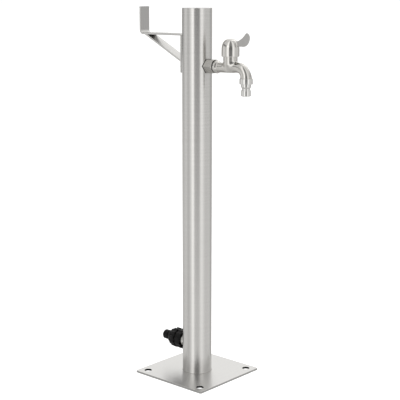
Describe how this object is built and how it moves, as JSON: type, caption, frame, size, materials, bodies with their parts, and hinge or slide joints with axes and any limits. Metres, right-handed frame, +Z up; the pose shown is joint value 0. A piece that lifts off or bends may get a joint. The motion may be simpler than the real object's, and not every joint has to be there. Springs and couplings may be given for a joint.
{
  "type": "garden standpipe",
  "caption": "Stainless garden tap column on a square bolt-down plate, with a quarter-turn lever tap, a quick-connect spout nipple, a braced hose hanger and a rear hose inlet coupling.",
  "frame": {"origin": "middle of the base plate's underside, on the column's axis and in the middle of the four ground bolts", "axes": "+Z up along the column, -Y the way the tap's spout points, +Y the way the hose hanger and the inlet point, +X to the right seen from in front of the tap"},
  "size_m": [0.23, 0.3616, 0.952],
  "materials": {
    "column_steel": "brushed along the tube, satin",
    "plate_steel": "satin sheet, faint straight grain",
    "hanger_steel": "satin flat bar, brushed along its length",
    "fastener_steel": "bright turned stainless",
    "cast_steel": "fine satin over a cast body",
    "handle_steel": "polished with a fine upright grain",
    "polished_steel": "turned and polished",
    "stub_steel": "turned thread, bright",
    "brass": "machined",
    "black_plastic": "moulded, semi-gloss",
    "rubber": "matt",
    "braid": "woven stainless wire",
    "ceramic": "lapped, unglazed",
    "black_steel": "blackened steel"
  },
  "bodies": {
    "standpipe": {"base_plate": "plate_steel", "base_weld": "column_steel", "column_tube": "column_steel", "top_cap": "column_steel", "hanger_strap": "hanger_steel", "hanger_brace": "hanger_steel", "hanger_welds": "hanger_steel", "hanger_studs": "fastener_steel", "hanger_washers": "fastener_steel", "hanger_cap_nuts": "fastener_steel", "outlet_gasket": "rubber", "outlet_adapter": "cast_steel", "outlet_saddle_washer": "fastener_steel", "outlet_locknut": "brass", "outlet_elbow": "brass", "tap_sealing_ring": "rubber", "tap_body": "cast_steel", "cartridge_body": "brass", "cartridge_seal": "rubber", "ceramic_disc_fixed": "ceramic", "spindle_o_ring": "rubber", "spout_washer": "rubber", "spout_union_nut": "polished_steel", "quick_nipple": "polished_steel", "riser_nuts": "brass", "riser_seals": "rubber", "riser_tails": "brass", "riser_ferrules": "fastener_steel", "riser_hose": "braid", "inlet_elbow": "brass", "inlet_stub": "stub_steel", "inlet_weld": "stub_steel", "coupling_washer": "rubber", "coupling_collar": "black_plastic", "coupling_nipple": "black_plastic", "coupling_o_ring": "rubber"},
    "handle_set": {"ceramic_disc_moving": "ceramic", "cartridge_spindle": "brass", "spindle_clip": "fastener_steel", "tap_handle": "handle_steel", "handle_grub_screw": "black_steel"}
  },
  "joints": [
    {"name": "handle_turn", "type": "hinge", "parent": "standpipe", "child": "handle_set", "pos_m": [0, -0.109, 0.85], "axis": [0, 0, 1], "range_deg": [0, 90]}
  ]
}
